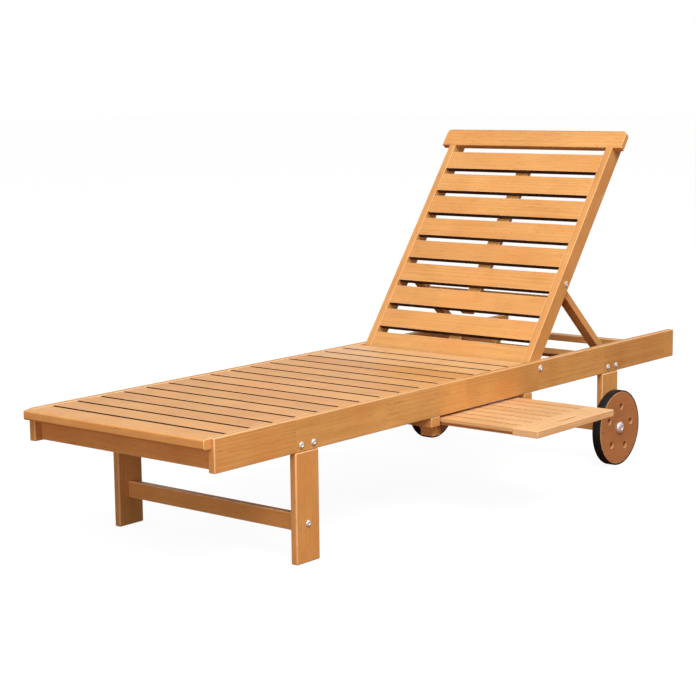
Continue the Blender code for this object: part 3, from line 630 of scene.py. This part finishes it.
def make_bolts():
    for word, side in (("left", -1), ("right", 1)):
        gap = side * REST_GAP
        rail_bottom = extent("rail_" + word)[0].z
        outer, inner = faces("rail_" + word, side)
        stile_outer, stile_inner = faces("stile_" + word, side)
        arm_inner = faces("prop_arm_" + word, side)[1]
        bolt("backrest_bolt_" + word + "_steel", "frame", (pivot.x, pivot.z), outer + gap,
             PIVOT_HEAD, stile_inner - gap, "backrest_bolt_" + word,
             washer=(stile_outer + gap, inner - gap))
        bolt("prop_bolt_" + word + "_steel", "backrest", (prop_pivot.x, prop_pivot.z),
             stile_outer + gap, PROP_HEAD, arm_inner - gap, "prop_bolt_" + word)
        for leg, offsets in LEG_BOLTS.items():
            leg_low, leg_high = extent(f"{leg}_leg_{word}")
            for number, offset in enumerate(offsets):
                centre = ((leg_low.x + leg_high.x) / 2 + offset, rail_bottom + LEG_BOLT_HEIGHT)
                frame_bolt(f"{leg}_leg_bolt_{word}_{number + 1}", centre, outer + gap, side)
        middle = sum(extent("front_stretcher"), Vector()) / 2
        frame_bolt("stretcher_bolt_" + word, (middle.x, middle.z), outer + gap, side)


def make_axle():
    low, high = extent("axle")
    middle = (low + high) / 2
    centre = (middle.x, middle.z)
    disc_low, disc_high = extent("wheel_disc_right")
    leg_high = extent("back_leg_right")[1].y
    half = high.y - middle.y
    cap_face = disc_high.y - middle.y + REST_GAP
    collar = (leg_high - middle.y + REST_GAP, disc_low.y - middle.y - REST_GAP)
    rod_end = cap_face + AXLE_INTO_CAP
    parts = [rod("axle_rod", AXLE_RADIUS, centre, middle.y - rod_end, middle.y + rod_end)]
    for side in (-1, 1):
        parts.append(button("cap", centre, middle.y + side * cap_face, side, AXLE_CAP_RADIUS,
                            half - cap_face))
        parts.append(rod("collar", COLLAR_RADIUS, centre,
                         *between(middle.y + side * collar[0], middle.y + side * collar[1])))
    metal(join_up(parts, "axle_steel"), "frame", "axle")


make_bolts()
make_axle()


# ---- tray -------------------------------------------------------------------------------------
# A glued panel: eight thin slats with loose tongues between them, the tongues dark as painted shade
# in the grooves, let into a thicker front board with a finger slot, on a cleat along each side and
# one across the back. It slides on two runners.

TRAY_SLATS = 8
TRAY_GROOVE = 0.004
TRAY_SLAT_THICKNESS = 0.010
FRONT_BOARD_WIDTH = 0.073
CLEAT_INSET = 0.003
CLEAT_WIDTH = 0.022
SLOT_LENGTH = 0.104
SLOT_DEPTH = 0.016
SLOT_FROM_EDGE = 0.038
SLOT_STEPS = 160
BOARD_EASE = 0.0018
TRAY_SLAT_EASE = 0.0008
TONGUE_EASE = 0.0004
TONGUE = (0.002, 0.005)      # its lower and upper face above the slats' undersides
TONGUE_SHORT = 0.001
BACK_CLEAT_WIDTH = 0.040
CLEAT_SHORT = 0.004          # the cleats end this far from the panel's inner edge
RUNNER_EASE = 0.0012


# Tray boards take the paler wood unless told otherwise: painted light on a tray in the rail's shade.
def tray_board(name, low, high, grain, ease=BOARD_EASE, wood=PAINTED_LIGHT_WOOD):
    piece = squared(name, Vector(low), Vector(high), wood, ease)
    wooden(piece, LEVEL, grain)
    return belong(piece, "tray", "seat_hardwood")


def make_tray():
    low, high = extent("tray_panel")
    back_of_board = low.y + FRONT_BOARD_WIDTH
    front = cube("tray_front", low, Vector((high.x, back_of_board, high.z)))
    timber(front, PAINTED_LIGHT_WOOD)
    half = SLOT_LENGTH / 2
    radius = (half ** 2 + SLOT_DEPTH ** 2) / (2 * SLOT_DEPTH)
    straight_side = low.y + SLOT_FROM_EDGE
    middle_x = (low.x + high.x) / 2
    bpy.ops.object.select_all(action="DESELECT")
    bpy.ops.mesh.primitive_cylinder_add(
        vertices=SLOT_STEPS, radius=radius, depth=0.04,
        location=(middle_x, straight_side + radius - SLOT_DEPTH, high.z))
    slot = bpy.context.object
    bpy.ops.object.transform_apply(location=True, rotation=True, scale=True)
    bpy.ops.object.mode_set(mode="EDIT")
    bpy.ops.mesh.select_all(action="SELECT")
    bpy.ops.mesh.bisect(plane_co=(middle_x, straight_side, 0), plane_no=(0, 1, 0), clear_outer=True,
                        use_fill=True)
    bpy.ops.object.mode_set(mode="OBJECT")
    cut_with(front, slot)
    ease_edges(front, BOARD_EASE)
    wooden(front, grain="X")
    belong(front, "tray", "seat_hardwood", "tray_panel")

    pitch = (high.x - low.x + TRAY_GROOVE) / TRAY_SLATS
    underside = high.z - TRAY_SLAT_THICKNESS
    start_y = back_of_board + REST_GAP
    for number in range(TRAY_SLATS):
        start = low.x + number * pitch
        slat = tray_board(f"tray_slat_{number + 1}", (start, start_y, underside),
                          (start + pitch - TRAY_GROOVE, high.y, high.z), "Y", TRAY_SLAT_EASE)
        if number > 0:
            paint_gap_shade(slat, ALONG_SEAT)
            # Each tongue takes the near black gap wood: painted shade at the foot of its groove.
            tray_board(f"tray_shade_tongue_{number}",
                       (start - TRAY_GROOVE, start_y, underside + TONGUE[0]),
                       (start, high.y - TONGUE_SHORT, underside + TONGUE[1]), "Y", TONGUE_EASE,
                       GAP_SHADE_WOOD)
    top = underside - REST_GAP
    cleat_end = high.y - CLEAT_SHORT
    side_cleat = CLEAT_INSET + CLEAT_WIDTH
    # The side cleats take the darker disc wood as painted shade below the tray slats' edges.
    for word, start in (("foot", low.x + CLEAT_INSET), ("head", high.x - side_cleat)):
        tray_board("tray_side_cleat_" + word, (start, start_y, low.z),
                   (start + CLEAT_WIDTH, cleat_end, top), "Y", wood=DISC_AND_CLEAT_SHADE_WOOD)
    between_cleats = (low.x + side_cleat + REST_GAP, high.x - side_cleat - REST_GAP)
    tray_board("tray_back_cleat", (between_cleats[0], cleat_end - BACK_CLEAT_WIDTH, low.z),
               (between_cleats[1], cleat_end, top), "X")


make_tray()
joinery("tray_runner_foot", "frame", grain="Y", width=RUNNER_EASE)
joinery("tray_runner_head", "frame", grain="Y", width=RUNNER_EASE)


# ---- floor, light and camera ------------------------------------------------------------------
# A plain pale floor that runs out of sight, a large soft lamp over the foot end on the tray's
# side, a weaker one low at the foot end that opens the shadows, and a white surround.

CAMERA_FROM_FOOT = Vector((-2.7488, -2.9131, 1.1199))  # from the rails' foot end, midway between them
CAMERA_YAW = 0.72330
CAMERA_PITCH = -0.16431
CAMERA_ROLL = -0.01771
CAMERA_LENS = 93.460
CAMERA_SENSOR = 36.0
CAMERA_SHIFT = (0.1006, 0.0287)
SKY_LIGHT = 0.40                                      # of the surround, on everything matt
SKY_IN_GLOSS = 0.6                                    # of the surround, in shiny surfaces
FLOOR_SIZE = 60
FLOOR_GLOW = 1.1                                      # keeps the floor white under soft shadows
FLOOR_GLOW_SHARE = 0.85
WHITE = (1, 1, 1, 1)
KEY_LAMP = ((-2.8, -4.0, 6.4), (0.3, 0.1, 0.4), 4.8, 720)  # place, aim, size and watts
FOOT_LAMP = ((-6.0, -2.2, 1.1), (0.0, 0.1, 0.4), 2.0, 85)


def make_floor():
    bpy.ops.object.select_all(action="DESELECT")
    bpy.ops.mesh.primitive_plane_add(size=FLOOR_SIZE)
    floor = bpy.context.object
    floor.name = "floor"
    material, tree, shader = new_material("pale_floor")
    output = tree.nodes["Material Output"]
    path = add_node(tree, "ShaderNodeLightPath", {}, {}).outputs["Is Camera Ray"]
    glow = add_node(tree, "ShaderNodeEmission", {},
                    {"Color": WHITE, "Strength": FLOOR_GLOW}).outputs[0]
    paint = add_node(tree, "ShaderNodeBsdfDiffuse", {}, {"Color": linear("#F4F3F1")}).outputs[0]
    dull = add_node(tree, "ShaderNodeBsdfDiffuse", {}, {"Color": linear("#76401F")}).outputs[0]
    seen = add_node(tree, "ShaderNodeMixShader", {},
                    {0: FLOOR_GLOW_SHARE, 1: paint, 2: glow}).outputs[0]
    mixed = add_node(tree, "ShaderNodeMixShader", {}, {0: path, 1: dull, 2: seen}).outputs[0]
    tree.nodes.remove(shader)
    tree.links.new(mixed, output.inputs["Surface"])
    floor.data.materials.append(material)


def make_world():
    world = bpy.data.worlds.new("white_surround")
    bpy.context.scene.world = world
    world.use_nodes = True
    tree = world.node_tree
    rays = add_node(tree, "ShaderNodeLightPath", {}, {}).outputs
    gloss = arithmetic(tree, "MULTIPLY", rays["Is Glossy Ray"], SKY_IN_GLOSS)
    path = arithmetic(tree, "MAXIMUM", rays["Is Camera Ray"], gloss)
    strength = arithmetic(tree, "MAXIMUM", path, SKY_LIGHT)
    tree.nodes["Background"].inputs["Color"].default_value = WHITE
    tree.links.new(strength, tree.nodes["Background"].inputs["Strength"])


def soft_lamp(name, place, aim, size, power):
    light = bpy.data.lights.new(name, "AREA")
    light.shape = "SQUARE"
    light.size = size
    light.energy = power
    lamp = bpy.data.objects.new(name, light)
    lamp.location = place
    lamp.rotation_euler = (Vector(aim) - Vector(place)).to_track_quat("-Z", "Y").to_euler()
    bpy.context.scene.collection.objects.link(lamp)


def make_camera():
    data = bpy.data.cameras.new("camera")
    data.lens = CAMERA_LENS
    data.sensor_width = CAMERA_SENSOR
    data.shift_x, data.shift_y = CAMERA_SHIFT
    camera = bpy.data.objects.new("camera", data)
    bpy.context.scene.collection.objects.link(camera)
    foot_end = extent("rail_left")[0].x
    centre_line = (extent("rail_left")[0].y + extent("rail_right")[1].y) / 2
    camera.location = Vector((foot_end, centre_line, 0)) + CAMERA_FROM_FOOT
    view = Vector((math.cos(CAMERA_PITCH) * math.cos(CAMERA_YAW),
                   math.cos(CAMERA_PITCH) * math.sin(CAMERA_YAW), math.sin(CAMERA_PITCH)))
    turn = view.to_track_quat("-Z", "Y") @ Quaternion((0, 0, 1), CAMERA_ROLL)
    camera.rotation_euler = turn.to_euler()
    bpy.context.scene.camera = camera


make_floor()
make_world()
soft_lamp("key", *KEY_LAMP)
soft_lamp("foot_fill", *FOOT_LAMP)
make_camera()
bpy.context.scene.view_settings.view_transform = "Standard"
